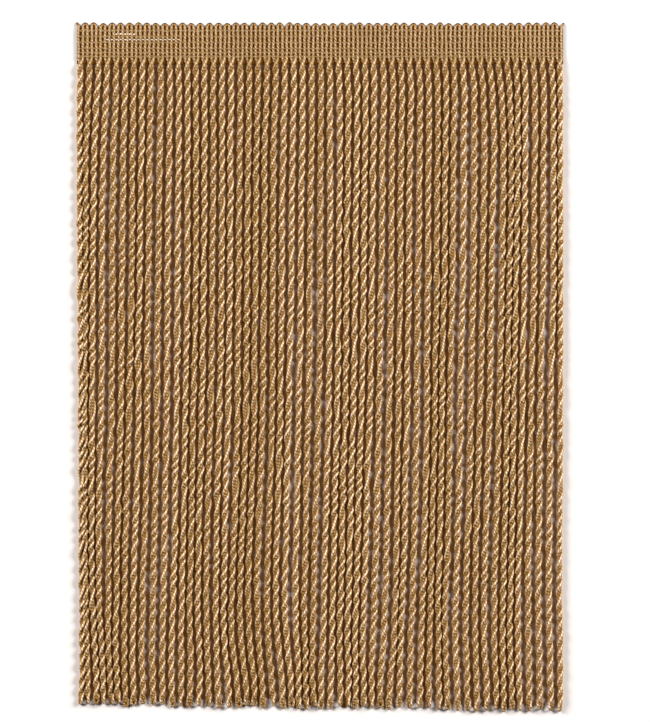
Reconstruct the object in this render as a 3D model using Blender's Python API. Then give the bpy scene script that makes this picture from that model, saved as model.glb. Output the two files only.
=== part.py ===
"""A cut length of bullion fringe, lying flat on its back with its face up.

X runs across the fringe, Y up the drop towards the loops, Z out of the face. The back is at Z = 0.
Everything is in metres. The origin is at the middle of the drop, on the surface that it lies on.
"""

import math
import random

import bmesh
import bpy

# Whole fringe
DROP = 0.254
CORD_COUNT = 55
PITCH = 0.00326
HALF_DROP = DROP / 2
HALF_WIDTH = CORD_COUNT * PITCH / 2

# Heading: two legs of the weft cord to each pitch, turned over in a small loop at the top
HEADING_DEPTH = 0.0147
LOOP_RISE = 0.00195
LOOP_RISE_SPREAD = 0.16
LOOP_LEAN = 0.00022
LEG_INNER = 0.000565
LEG_OUTER = 0.001065
LEG_HEIGHT = 0.0016
VALLEY_HEIGHT = 0.0006
EYE_HEIGHT = 0.00075
ARCH_STEPS = 6
LOOP_SEED = 11

# Strip at the roots of the cords
SEAT_GAP = 0.0003
STRIP_DEPTH = 0.0018

# Cords, four-sided, with a flat underside wider than the face
CORD_WIDTH = 0.00205
CORD_HEIGHT = 0.0021
CORD_FACE_SHARE = 0.5
CORD_SEED = 5
CLEARANCE = 0.00035

# Small loop that closes each cord, as a swelling and a blunt tip
END_SWELL_WIDTH = 0.0024
END_SWELL_AT = 0.0022
END_TIP_WIDTH = 0.0011
END_TIP_HEIGHT = 0.0012

# Lengths: the left cut end is shorter, and each cord differs a little
LEFT_SHORTER = 0.0022
LENGTH_SPREAD = 0.0013

# Where each cord lies, as tenths of a millimetre to the right of its own root, at these depths below the
# loops. The last number is at its end. One row for each cord, from the left.
COURSE_UNIT = 0.0001
COURSE_DEPTHS = (0.020, 0.045, 0.070, 0.095, 0.120, 0.145, 0.170, 0.195, 0.215, 0.230, 0.241)
COURSES = (
    (-3, -9, -10, -11, -11, -13, -12, -14, -11, -9, -8, -7),
    (-1, -15, -16, -19, -19, -21, -20, -22, -15, -11, -8, -4),
    (-1, -16, -19, -22, -22, -27, -28, -30, -23, -13, -8, -5),
    (-2, -14, -20, -20, -20, -23, -30, -34, -31, -21, -16, -12),
    (0, -8, -14, -14, -14, -18, -25, -28, -30, -29, -24, -20),
    (0, -6, -8, -13, -13, -16, -23, -30, -32, -35, -32, -28),
    (0, -6, -6, -8, -13, -18, -26, -33, -35, -35, -36, -33),
    (-3, -5, -9, -11, -17, -16, -22, -32, -35, -37, -38, -35),
    (-4, -7, -10, -13, -17, -16, -21, -29, -34, -38, -34, -33),
    (2, -2, -6, -8, -11, -14, -19, -25, -28, -32, -28, -27),
    (3, 0, -4, -7, -8, -11, -15, -19, -22, -26, -27, -24),
    (2, 2, 0, -3, -4, -7, -11, -14, -19, -24, -26, -22),
    (2, 2, 2, 1, -2, -7, -10, -15, -21, -22, -21, -22),
    (-1, 1, 0, -1, -4, -11, -14, -19, -24, -20, -20, -24),
    (-2, 0, -2, -5, -6, -11, -17, -24, -27, -21, -17, -21),
    (-2, -1, -3, -6, -6, -12, -19, -26, -28, -24, -20, -20),
    (-2, -1, -2, -3, -6, -12, -19, -23, -25, -23, -20, -14),
    (-1, -3, -4, -5, -8, -13, -21, -26, -30, -25, -14, -8),
    (0, -1, -4, -6, -9, -10, -17, -25, -34, -29, -15, -5),
    (1, -3, -6, -7, -10, -11, -19, -29, -35, -28, -16, -7),
    (0, -6, -8, -9, -13, -14, -23, -34, -37, -29, -15, -12),
    (1, -8, -9, -10, -13, -16, -25, -34, -36, -27, -20, -15),
    (0, -8, -10, -11, -12, -13, -20, -29, -32, -27, -16, -9),
    (1, -4, -9, -10, -14, -16, -22, -31, -33, -23, -10, -3),
    (2, -3, -6, -8, -14, -19, -24, -30, -32, -22, -10, -3),
    (1, 0, -4, -6, -8, -14, -18, -24, -26, -19, -13, -11),
    (3, 2, -3, -6, -6, -12, -18, -21, -27, -22, -20, -19),
    (5, 1, 1, 0, 0, -6, -13, -20, -24, -28, -29, -27),
    (5, 3, 5, 4, 2, -1, -8, -14, -18, -22, -30, -33),
    (7, 9, 6, 4, 1, -2, -10, -14, -19, -22, -24, -28),
    (6, 7, 2, 0, -2, -6, -14, -17, -24, -26, -24, -22),
    (5, 6, 1, -1, -4, -9, -17, -21, -27, -29, -24, -29),
    (5, 3, -1, -2, -5, -11, -20, -25, -31, -35, -32, -34),
    (4, 0, -2, -5, -8, -14, -23, -29, -35, -39, -36, -34),
    (9, 2, 0, -4, -8, -12, -18, -23, -29, -34, -40, -38),
    (10, 4, 2, 2, -2, -6, -12, -17, -22, -28, -40, -40),
    (9, 6, 2, 3, -3, -5, -10, -12, -16, -22, -34, -40),
    (9, 5, 2, 0, -4, -6, -13, -17, -24, -29, -33, -35),
    (10, 8, 7, 1, -1, -3, -8, -14, -20, -26, -27, -29),
    (10, 9, 6, 6, 3, 3, -2, -8, -14, -20, -21, -23),
    (10, 9, 6, 6, -1, 0, -7, -12, -18, -20, -25, -24),
    (9, 5, 2, 1, -7, -8, -12, -17, -23, -21, -19, -18),
    (8, 2, 0, -2, -8, -12, -15, -20, -31, -29, -24, -20),
    (9, 8, 6, 4, -2, -6, -10, -18, -25, -23, -20, -16),
    (12, 14, 12, 10, 4, 0, -4, -14, -19, -17, -14, -10),
    (12, 19, 15, 11, 7, 1, -6, -15, -17, -15, -13, -9),
    (12, 21, 15, 11, 8, 2, -5, -14, -17, -16, -8, -5),
    (12, 25, 21, 17, 13, 5, 0, -8, -11, -10, -6, -3),
    (11, 20, 18, 12, 8, 2, -1, -8, -12, -14, -10, -10),
    (9, 11, 9, 3, -1, -6, -8, -13, -18, -20, -14, -8),
    (5, 4, 4, 1, -4, -6, -11, -20, -22, -21, -20, -16),
    (7, 9, 5, 5, -1, -7, -10, -17, -18, -15, -13, -12),
    (9, 7, 6, 6, -2, -5, -9, -11, -12, -9, -7, -6),
    (10, 11, 12, 12, 4, 0, -3, -5, -6, -2, 0, 1),
    (8, 9, 10, 8, 6, 6, 3, 1, 0, 4, 6, 7),
)

# Colours as they look, before conversion to linear light
HEADING_COLOUR = (0.66, 0.50, 0.33)
CORD_COLOUR = (0.70, 0.54, 0.36)
YARN_ROUGHNESS = 0.62

TOP = HALF_DROP
ARCH_BASE = TOP - LOOP_RISE
HEADING_EDGE = TOP - HEADING_DEPTH
STRIP_TOP = HEADING_EDGE - SEAT_GAP
STRIP_EDGE = STRIP_TOP - STRIP_DEPTH


def clear_scene():
    for obj in list(bpy.data.objects):
        bpy.data.objects.remove(obj)


class Shell:
    """Points shared by place, and the faces between them, which become one closed mesh."""

    def __init__(self):
        self.mesh = bmesh.new()
        self.by_place = {}

    def point(self, x, y, z):
        place = (round(x, 8), round(y, 8), round(z, 8))
        if place not in self.by_place:
            self.by_place[place] = self.mesh.verts.new((x, y, z))
        return self.by_place[place]

    def face(self, *places):
        self.mesh.faces.new([self.point(*place) for place in places])

    def finish(self, name, material):
        bmesh.ops.recalc_face_normals(self.mesh, faces=self.mesh.faces[:])
        data = bpy.data.meshes.new(name)
        self.mesh.to_mesh(data)
        self.mesh.free()
        data.materials.append(material)
        data.shade_smooth()
        data.set_sharp_from_angle(angle=math.radians(38))
        obj = bpy.data.objects.new(name, data)
        bpy.context.scene.collection.objects.link(obj)
        return obj


def yarn_material(name, colour):
    material = bpy.data.materials.new(name)
    material.use_nodes = True
    shader = material.node_tree.nodes["Principled BSDF"]
    linear = [channel**2.2 for channel in colour]
    shader.inputs["Base Color"].default_value = (*linear, 1.0)
    shader.inputs["Roughness"].default_value = YARN_ROUGHNESS
    shader.inputs["Metallic"].default_value = 0.0
    return material


def leg_profile():
    """Height of the face across one loop, from valley to valley, as (offset, height)."""
    return (
        (-PITCH / 2, VALLEY_HEIGHT),
        (-LEG_OUTER, LEG_HEIGHT),
        (-LEG_INNER, LEG_HEIGHT),
        (0.0, EYE_HEIGHT),
        (LEG_INNER, LEG_HEIGHT),
        (LEG_OUTER, LEG_HEIGHT),
        (PITCH / 2, VALLEY_HEIGHT),
    )


def half_profile(side):
    """The same for one leg only, on the side that lies within the cut."""
    if side == "right":
        return leg_profile()[3:]
    if side == "left":
        return leg_profile()[:4]
    return leg_profile()


def add_straight_legs(shell, centre, side):
    """The legs between the heading's lower edge and the foot of the arch."""
    profile = half_profile(side)
    for (left, low), (right, high) in zip(profile, profile[1:]):
        shell.face(
            (centre + left, HEADING_EDGE, low),
            (centre + right, HEADING_EDGE, high),
            (centre + right, ARCH_BASE, high),
            (centre + left, ARCH_BASE, low),
        )
    for half in (profile[:4], profile[3:]) if side == "both" else (profile,):
        left = centre + half[0][0]
        right = centre + half[-1][0]
        shell.face(
            (left, HEADING_EDGE, 0.0),
            (left, ARCH_BASE, 0.0),
            (right, ARCH_BASE, 0.0),
            (right, HEADING_EDGE, 0.0),
        )
        edge = [(centre + offset, HEADING_EDGE, height) for offset, height in half]
        shell.face((left, HEADING_EDGE, 0.0), (right, HEADING_EDGE, 0.0), *reversed(edge))


def arch_point(centre, radius, height, angle, rise, lean):
    """A point of the arch. At 0 and 180 degrees it meets the straight legs and the next loop."""
    share = math.sin(angle)
    x = centre + radius * math.cos(angle) + lean * share * radius / (PITCH / 2)
    y = ARCH_BASE + radius / (PITCH / 2) * rise * share
    return (x, y, height)


def add_arch(shell, centre, side, rise, lean):
    """The loop over the top: a round ridge about a small eye, on a flat back."""
    rings = (
        (LEG_INNER, LEG_HEIGHT),
        (LEG_OUTER, LEG_HEIGHT),
        (PITCH / 2, VALLEY_HEIGHT),
    )
    first, last = {"right": (0, 3), "left": (3, 6), "both": (0, 6)}[side]
    eye = (centre, ARCH_BASE, EYE_HEIGHT)
    under_eye = (centre, ARCH_BASE, 0.0)
    for step in range(first, last):
        start = math.pi * step / ARCH_STEPS
        end = math.pi * (step + 1) / ARCH_STEPS
        from_ring = [arch_point(centre, r, h, start, rise, lean) for r, h in rings]
        to_ring = [arch_point(centre, r, h, end, rise, lean) for r, h in rings]
        shell.face(eye, from_ring[0], to_ring[0])
        for inner in (0, 1):
            shell.face(from_ring[inner], from_ring[inner + 1], to_ring[inner + 1], to_ring[inner])
        from_foot = (from_ring[2][0], from_ring[2][1], 0.0)
        to_foot = (to_ring[2][0], to_ring[2][1], 0.0)
        shell.face(from_ring[2], from_foot, to_foot, to_ring[2])
        shell.face(under_eye, to_foot, from_foot)
    if side != "both":
        top = [arch_point(centre, r, h, math.pi / 2, rise, lean) for r, h in rings]
        shell.face(
            (centre, HEADING_EDGE, 0.0),
            (centre, HEADING_EDGE, EYE_HEIGHT),
            eye,
            *top,
            (top[2][0], top[2][1], 0.0),
            under_eye,
        )


def make_heading():
    """The woven band, from cut end to cut end, with a half loop finished flat at each end."""
    shell = Shell()
    random_source = random.Random(LOOP_SEED)
    loops = CORD_COUNT + 1
    for number in range(loops):
        centre = -HALF_WIDTH + number * PITCH
        side = "right" if number == 0 else "left" if number == loops - 1 else "both"
        short = random_source.uniform(0.0, LOOP_RISE_SPREAD)
        lean = random_source.uniform(-LOOP_LEAN, LOOP_LEAN)
        if side != "both":
            lean = 0.0
        if number % 9 == 4:
            short = 0.0
        add_straight_legs(shell, centre, side)
        add_arch(shell, centre, side, LOOP_RISE * (1 - short), lean)
    return shell.finish("heading", yarn_material("heading_yarn", HEADING_COLOUR))


def spread_apart(places, apart):
    """The same places, moved no more than needed to stand this far apart within the width."""
    limit = HALF_WIDTH - apart / 2
    rightwards = list(places)
    rightwards[0] = max(rightwards[0], -limit)
    for number in range(1, len(places)):
        rightwards[number] = max(rightwards[number], rightwards[number - 1] + apart)
    leftwards = list(places)
    leftwards[-1] = min(leftwards[-1], limit)
    for number in range(len(places) - 2, -1, -1):
        leftwards[number] = min(leftwards[number], leftwards[number + 1] - apart)
    middle = [(a + b) / 2 for a, b in zip(rightwards, leftwards)]
    return [min(max(x, -limit), limit) for x in middle]


def cord_lines():
    """The centre line of every cord as rows of (x, y), root first, and each cord's end."""
    random_source = random.Random(CORD_SEED)
    roots = [(number - (CORD_COUNT - 1) / 2) * PITCH for number in range(CORD_COUNT)]
    ends = []
    for number in range(CORD_COUNT):
        shorter = LEFT_SHORTER * (1 - number / (CORD_COUNT - 1))
        ends.append(-HALF_DROP + random_source.uniform(0.0, LENGTH_SPREAD) + shorter)
    ends = [end - (min(ends) + HALF_DROP) for end in ends]
    lines = [[(x, STRIP_EDGE)] for x in roots]
    levels = [[TOP - depth] * CORD_COUNT for depth in COURSE_DEPTHS]
    levels.append([end + END_SWELL_AT for end in ends])
    for number, heights in enumerate(levels):
        last = number == len(levels) - 1
        wanted = [x + course[number] * COURSE_UNIT for x, course in zip(roots, COURSES)]
        placed = spread_apart(wanted, (END_SWELL_WIDTH if last else CORD_WIDTH) + CLEARANCE)
        for line, x, y in zip(lines, placed, heights):
            line.append((x, y))
    for line, end in zip(lines, ends):
        (before_x, _), (last_x, _) = line[-2:]
        line.append((last_x + 0.1 * (last_x - before_x), end))
    return lines


def cord_ring(x, y, width, height):
    """Four corners: the flat underside, then the narrower face."""
    face = width * CORD_FACE_SHARE
    return (
        (x - width / 2, y, 0.0),
        (x + width / 2, y, 0.0),
        (x + face / 2, y, height),
        (x - face / 2, y, height),
    )


def add_cord(shell, line):
    """One cord down to its swollen end and blunt tip. Its first ring is the hole in the strip."""
    rings = [cord_ring(x, y, CORD_WIDTH, CORD_HEIGHT) for x, y in line[:-2]]
    rings.append(cord_ring(*line[-2], END_SWELL_WIDTH, CORD_HEIGHT))
    rings.append(cord_ring(*line[-1], END_TIP_WIDTH, END_TIP_HEIGHT))
    for upper, lower in zip(rings, rings[1:]):
        for corner in range(4):
            after = (corner + 1) % 4
            shell.face(upper[corner], upper[after], lower[after], lower[corner])
    shell.face(*rings[-1])
    return rings[0]


def add_strip_section(shell, centre, root, before, after):
    """The strip over one cord, where two legs run together. before and after are its neighbours."""
    top = [
        (centre - PITCH / 2, STRIP_TOP, VALLEY_HEIGHT),
        (centre - LEG_OUTER, STRIP_TOP, LEG_HEIGHT),
        (centre - LEG_INNER, STRIP_TOP, LEG_HEIGHT),
        (centre, STRIP_TOP, EYE_HEIGHT),
        (centre + LEG_INNER, STRIP_TOP, LEG_HEIGHT),
        (centre + LEG_OUTER, STRIP_TOP, LEG_HEIGHT),
        (centre + PITCH / 2, STRIP_TOP, VALLEY_HEIGHT),
    ]
    under_left, under_right, face_right, face_left = root
    for number in range(3):
        shell.face(top[number], top[number + 1], face_left)
        shell.face(top[number + 3], top[number + 4], face_right)
    shell.face(face_left, top[3], face_right)
    back_left = (centre - PITCH / 2, STRIP_TOP, 0.0)
    back_right = (centre + PITCH / 2, STRIP_TOP, 0.0)
    shell.face(back_left, back_right, *reversed(top))
    shell.face(back_left, under_left, under_right, back_right)
    if after:
        shell.face(face_right, top[6], after[3])
        shell.face(under_right, after[0], back_right)
        shell.face(under_right, after[0], after[3], face_right)
    else:
        shell.face(back_right, top[6], face_right, under_right)
    if not before:
        shell.face(back_left, top[0], face_left, under_left)


def make_skirt():
    """All the cords, drawn out of one narrow strip that lies just below the heading."""
    shell = Shell()
    roots = [add_cord(shell, line) for line in cord_lines()]
    for number, root in enumerate(roots):
        centre = (number - (CORD_COUNT - 1) / 2) * PITCH
        before = roots[number - 1] if number else None
        after = roots[number + 1] if number < CORD_COUNT - 1 else None
        add_strip_section(shell, centre, root, before, after)
    return shell.finish("skirt", yarn_material("skirt_yarn", CORD_COLOUR))


clear_scene()
make_heading()
make_skirt()
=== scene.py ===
"""Bullion fringe, dressed: twisted viscose cords under a narrow woven heading with a looped top edge."""

import math
import random

import bpy
import numpy as np
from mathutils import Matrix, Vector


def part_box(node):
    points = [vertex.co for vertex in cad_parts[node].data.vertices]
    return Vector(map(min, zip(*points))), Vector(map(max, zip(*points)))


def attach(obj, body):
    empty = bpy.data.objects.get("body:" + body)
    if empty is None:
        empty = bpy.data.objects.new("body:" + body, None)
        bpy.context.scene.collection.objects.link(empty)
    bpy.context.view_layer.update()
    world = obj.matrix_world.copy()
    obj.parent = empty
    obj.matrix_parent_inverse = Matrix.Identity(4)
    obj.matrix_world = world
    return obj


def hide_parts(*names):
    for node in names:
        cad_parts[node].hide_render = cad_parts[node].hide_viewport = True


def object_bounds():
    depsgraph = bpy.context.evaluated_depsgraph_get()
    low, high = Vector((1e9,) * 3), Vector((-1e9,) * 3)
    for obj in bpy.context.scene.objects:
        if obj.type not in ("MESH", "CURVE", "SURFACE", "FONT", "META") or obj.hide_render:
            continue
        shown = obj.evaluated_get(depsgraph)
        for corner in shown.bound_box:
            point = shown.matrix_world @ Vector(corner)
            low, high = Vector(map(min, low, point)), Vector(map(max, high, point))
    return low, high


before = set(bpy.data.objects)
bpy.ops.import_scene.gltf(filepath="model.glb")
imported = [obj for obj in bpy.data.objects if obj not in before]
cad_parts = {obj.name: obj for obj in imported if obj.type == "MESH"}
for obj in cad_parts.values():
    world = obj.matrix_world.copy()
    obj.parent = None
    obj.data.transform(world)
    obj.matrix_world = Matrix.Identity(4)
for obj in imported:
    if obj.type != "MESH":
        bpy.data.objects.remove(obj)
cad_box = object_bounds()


# The camera looks straight down on the fringe from far off, and the frame holds a little of the floor
# round it. Sizes of the picture are in pixels, and the fringe's place in it sets the scale.
PICTURE = {"wide": 650, "high": 722}
FRINGE_IN_PICTURE = {"left": 77.0, "right": 563.0, "top": 22.0, "bottom": 712.0}
CAMERA_HEIGHT = 1.6
SENSOR = 36.0

low, high = cad_box
scale = (high.y - low.y) / (FRINGE_IN_PICTURE["bottom"] - FRINGE_IN_PICTURE["top"])
middle_column = (FRINGE_IN_PICTURE["left"] + FRINGE_IN_PICTURE["right"]) / 2
middle_row = (FRINGE_IN_PICTURE["top"] + FRINGE_IN_PICTURE["bottom"]) / 2
look_x = (PICTURE["wide"] / 2 - middle_column) * scale
look_y = (middle_row - PICTURE["high"] / 2) * scale

camera_data = bpy.data.cameras.new("camera")
camera_data.sensor_width = SENSOR
camera_data.lens = SENSOR * CAMERA_HEIGHT / (PICTURE["high"] * scale)
camera_data.clip_start = 0.01
camera = bpy.data.objects.new("camera", camera_data)
camera.location = (look_x, look_y, CAMERA_HEIGHT)
bpy.context.scene.collection.objects.link(camera)
bpy.context.scene.camera = camera
bpy.context.scene.view_settings.view_transform = "Standard"


# A plain pale table, with a large soft light on each side of it, a little beyond the looped edge of the
# heading, and a faint even sky. The light on the right is a little stronger.
FLOOR_SIZE = 3.0
FLOOR_COLOUR = (0.90, 0.85, 0.82, 1.0)
LIGHTS = {
    "key": {"place": (2.30, 1.25, 1.53), "size": 1.5, "watts": 129.0},
    "fill": {"place": (-2.20, 1.25, 1.47), "size": 1.7, "watts": 116.0},
}
SKY_COLOUR = (1.0, 0.97, 0.96, 1.0)
SKY_STRENGTH = 0.006

half = FLOOR_SIZE / 2
floor_mesh = bpy.data.meshes.new("floor")
floor_mesh.from_pydata(
    [(-half, -half, 0.0), (half, -half, 0.0), (half, half, 0.0), (-half, half, 0.0)], [], [(0, 1, 2, 3)]
)
floor_paint = bpy.data.materials.new("floor")
floor_paint.use_nodes = True
floor_shader = floor_paint.node_tree.nodes["Principled BSDF"]
floor_shader.inputs["Base Color"].default_value = FLOOR_COLOUR
floor_shader.inputs["Roughness"].default_value = 0.9
floor_shader.inputs["Specular IOR Level"].default_value = 0.1
floor_mesh.materials.append(floor_paint)
floor = bpy.data.objects.new("floor", floor_mesh)
bpy.context.scene.collection.objects.link(floor)

for name, light in LIGHTS.items():
    lamp_data = bpy.data.lights.new(name, "AREA")
    lamp_data.shape = "DISK"
    lamp_data.size = light["size"]
    lamp_data.energy = light["watts"]
    lamp = bpy.data.objects.new(name, lamp_data)
    lamp.location = light["place"]
    lamp.rotation_euler = (-lamp.location).to_track_quat("-Z", "Y").to_euler()
    bpy.context.scene.collection.objects.link(lamp)

world = bpy.data.worlds.new("sky")
world.use_nodes = True
world.node_tree.nodes["Background"].inputs["Color"].default_value = SKY_COLOUR
world.node_tree.nodes["Background"].inputs["Strength"].default_value = SKY_STRENGTH
bpy.context.scene.world = world


# The yarn is bright viscose, two fine threads folded together. Every part of the fringe is made of it,
# so its tube and its finish are node groups that each piece uses with its own sizes.
YARN_SIDES = 8
# Light and Blush are the yarn's own colours. Deep is its darker tone, and the trees also use it for painted
# shade. The last colour is painted shade, for low parts, crevices and flanks.
YARN_COLOURS = {
    "Light": (0.93, 0.71, 0.41, 1.0),
    "Blush": (0.96, 0.67, 0.47, 1.0),
    "Deep": (0.33, 0.20, 0.060, 1.0),
    "Painted Shade": (0.40, 0.165, 0.012, 1.0),
}
YARN_FOLDS = 2.0
YARN_PITCH = 0.0012
YARN_RELIEF = 0.00020
STREAKS_ROUND = 1.4
STREAK_LENGTH = 0.0008
STREAK_RELIEF = 0.45
SHADE_SHARES = {"crest": 0.50, "streaks": 1.15, "clouds": 0.40, "tone": 0.14}
SHADE_RANGE = (0.69, 1.25)
CLOUD_MILLIMETRES = 2.6
HUE_MILLIMETRES = 1.6
HUE_RANGE = (0.38, 0.62)
LUMPS_A_MILLIMETRE = 1.1
YARN_ROUGHNESS = 0.50
CREST_POLISH = 0.12
PER_MILLIMETRE = 1000.0


def add_node(tree, kind, feeds=None, **settings):
    """Adds a node and feeds its inputs, by name or number, with plain values or with other nodes' sockets."""
    node = tree.nodes.new(kind)
    for setting, value in settings.items():
        setattr(node, setting, value)
    for key, feed in (feeds or {}).items():
        if isinstance(feed, bpy.types.NodeSocket):
            tree.links.new(feed, node.inputs[key])
        else:
            node.inputs[key].default_value = feed
    return node


def calc(tree, operation, first, second=0.0, third=None):
    """One step of arithmetic."""
    feeds = {0: first, 1: second}
    if third is not None:
        feeds[2] = third
    return add_node(tree, "ShaderNodeMath", feeds, operation=operation).outputs[0]


def ramp(tree, value, start, end, low_end=0.0, high_end=1.0):
    """A value brought smoothly from one range into another."""
    feeds = {"Value": value, "From Min": start, "From Max": end, "To Min": low_end, "To Max": high_end}
    return add_node(tree, "ShaderNodeMapRange", feeds, interpolation_type="SMOOTHSTEP").outputs["Result"]


def new_group(name, kind, inlets, outlets):
    """An empty node group with these sockets. Returns the tree, the input node and the output node."""
    tree = bpy.data.node_groups.new(name, kind)
    for socket, socket_kind in inlets:
        tree.interface.new_socket(socket, in_out="INPUT", socket_type="NodeSocket" + socket_kind)
    for socket, socket_kind in outlets:
        tree.interface.new_socket(socket, in_out="OUTPUT", socket_type="NodeSocket" + socket_kind)
    return tree, tree.nodes.new("NodeGroupInput"), tree.nodes.new("NodeGroupOutput")


def make_yarn_tube_group():
    """Sweeps yarn along curves, and leaves on the mesh how far along and where round it a point is."""
    inlets = (
        ("Path", "Geometry"),
        ("Along", "Float"),
        ("Radius", "Float"),
        ("Pinch", "Float"),
        ("Sides", "Int"),
        ("Unevenness", "Float"),
        ("Yarn", "Material"),
    )
    tree, inner, outer = new_group("yarn_tube", "GeometryNodeTree", inlets, (("Yarn", "Geometry"),))
    given = inner.outputs
    place = add_node(tree, "GeometryNodeInputPosition").outputs[0]
    lump_feeds = {"Vector": place, "Scale": LUMPS_A_MILLIMETRE * PER_MILLIMETRE, "Detail": 1.0}
    lumps = add_node(tree, "ShaderNodeTexNoise", lump_feeds)
    swell = calc(tree, "MULTIPLY", calc(tree, "SUBTRACT", lumps.outputs["Fac"], 0.5), given["Unevenness"])
    marked = add_node(
        tree,
        "GeometryNodeStoreNamedAttribute",
        {"Geometry": given["Path"], "Name": "along", "Value": given["Along"]},
        data_type="FLOAT",
        domain="POINT",
    )
    section = add_node(
        tree,
        "GeometryNodeCurvePrimitiveCircle",
        {"Resolution": given["Sides"], "Radius": given["Radius"]},
        mode="RADIUS",
    )
    outward = add_node(
        tree,
        "ShaderNodeVectorMath",
        {0: add_node(tree, "GeometryNodeInputPosition").outputs[0], "Scale": PER_MILLIMETRE},
        operation="SCALE",
    )
    marked_section = add_node(
        tree,
        "GeometryNodeStoreNamedAttribute",
        {"Geometry": section.outputs["Curve"], "Name": "around", "Value": outward.outputs[0]},
        data_type="FLOAT_VECTOR",
        domain="POINT",
    )
    swept = add_node(
        tree,
        "GeometryNodeCurveToMesh",
        {
            "Curve": marked.outputs["Geometry"],
            "Profile Curve": marked_section.outputs["Geometry"],
            "Scale": calc(tree, "SUBTRACT", calc(tree, "ADD", 1.0, swell), given["Pinch"]),
            "Fill Caps": True,
        },
    )
    smooth = add_node(tree, "GeometryNodeSetShadeSmooth", {"Geometry": swept.outputs["Mesh"]})
    whole = add_node(tree, "GeometryNodeRealizeInstances", {"Geometry": smooth.outputs["Geometry"]})
    dyed = add_node(
        tree, "GeometryNodeSetMaterial", {"Geometry": whole.outputs["Geometry"], "Material": given["Yarn"]}
    )
    tree.links.new(dyed.outputs["Geometry"], outer.inputs["Yarn"])
    return tree


def make_yarn_finish_group():
    """Colour, gloss and relief of folded yarn, from where a point is along and round it. Painted shade: low
    parts and parts the trees mark fade to the shade colour and lose their gloss.
    """
    inlets = (
        ("Light", "Color"),
        ("Blush", "Color"),
        ("Deep", "Color"),
        ("Painted Shade", "Color"),
        ("Pitch", "Float"),
        ("Folds", "Float"),
        ("Dark Height", "Float"),
        ("Bright Height", "Float"),
    )
    outlets = (("Color", "Color"), ("Roughness", "Float"), ("Gloss", "Float"), ("Height", "Float"))
    tree, inner, outer = new_group("yarn_finish", "ShaderNodeTree", inlets, outlets)
    given = inner.outputs

    def mark(name):
        """A number left on the mesh by the tree that made it."""
        return add_node(tree, "ShaderNodeAttribute", attribute_name=name).outputs["Fac"]

    def blend(amount, first, second):
        """One colour fading into another."""
        return add_node(tree, "ShaderNodeMix", {0: amount, 6: first, 7: second}, data_type="RGBA").outputs[2]

    def grain(size, detail):
        """Cloudy noise with spots about this many millimetres across."""
        place = add_node(tree, "ShaderNodeTexCoord").outputs["Object"]
        feeds = {"Vector": place, "Scale": PER_MILLIMETRE / size, "Detail": detail}
        return add_node(tree, "ShaderNodeTexNoise", feeds).outputs["Fac"]

    around = add_node(tree, "ShaderNodeAttribute", attribute_name="around").outputs["Vector"]
    outward = add_node(tree, "ShaderNodeSeparateXYZ", {0: around})
    angle = calc(tree, "ARCTAN2", outward.outputs["Y"], outward.outputs["X"])
    turned = calc(tree, "DIVIDE", calc(tree, "MULTIPLY", mark("along"), 2 * math.pi), given["Pitch"])
    phase = calc(tree, "MULTIPLY_ADD", angle, given["Folds"], turned)
    # Painted shade: the grooves between the folded threads are coloured darker, as well as sunk by the bump.
    crest = calc(tree, "MULTIPLY_ADD", calc(tree, "COSINE", phase), -0.5, 0.5)
    twisted = calc(tree, "DIVIDE", phase, given["Folds"])
    streak_place = add_node(
        tree,
        "ShaderNodeCombineXYZ",
        {
            "X": calc(tree, "MULTIPLY", calc(tree, "COSINE", twisted), STREAKS_ROUND),
            "Y": calc(tree, "MULTIPLY", calc(tree, "SINE", twisted), STREAKS_ROUND),
            "Z": calc(tree, "DIVIDE", mark("along"), STREAK_LENGTH),
        },
    ).outputs[0]
    streaks = add_node(
        tree, "ShaderNodeTexNoise", {"Vector": streak_place, "Scale": 1.0, "Detail": 3.0, "Roughness": 0.65}
    )
    streaks = streaks.outputs["Fac"]
    shade = calc(tree, "MULTIPLY", crest, SHADE_SHARES["crest"])
    shade = calc(tree, "MULTIPLY_ADD", streaks, SHADE_SHARES["streaks"], shade)
    shade = calc(tree, "MULTIPLY_ADD", grain(CLOUD_MILLIMETRES, 2.0), SHADE_SHARES["clouds"], shade)
    shade = calc(tree, "MULTIPLY_ADD", mark("tone"), SHADE_SHARES["tone"], shade)
    hue = ramp(tree, grain(HUE_MILLIMETRES, 2.0), *HUE_RANGE)
    lit = blend(hue, given["Light"], given["Blush"])
    colour = blend(ramp(tree, shade, *SHADE_RANGE), given["Deep"], lit)
    place = add_node(tree, "ShaderNodeTexCoord").outputs["Object"]
    place = add_node(tree, "ShaderNodeSeparateXYZ", {0: place})
    # Painted shade: below the bright height the colour fades to the shade colour, fully at the dark height.
    # The marks left by the trees add to it, and the coat gloss is taken off where it is painted.
    under = ramp(tree, place.outputs["Z"], given["Bright Height"], given["Dark Height"])
    shade_mask = calc(tree, "MAXIMUM", mark("shade_mark"), under)
    colour = blend(shade_mask, colour, given["Painted Shade"])
    gloss = calc(tree, "SUBTRACT", 1.0, calc(tree, "MINIMUM", calc(tree, "MULTIPLY", shade_mask, 2.0), 1.0))
    tree.links.new(gloss, outer.inputs["Gloss"])
    tree.links.new(colour, outer.inputs["Color"])
    roughness = calc(tree, "MULTIPLY_ADD", crest, -CREST_POLISH, YARN_ROUGHNESS)
    tree.links.new(roughness, outer.inputs["Roughness"])
    tree.links.new(calc(tree, "MULTIPLY_ADD", streaks, STREAK_RELIEF, crest), outer.inputs["Height"])
    return tree


yarn_tube = make_yarn_tube_group()
yarn_finish = make_yarn_finish_group()


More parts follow.
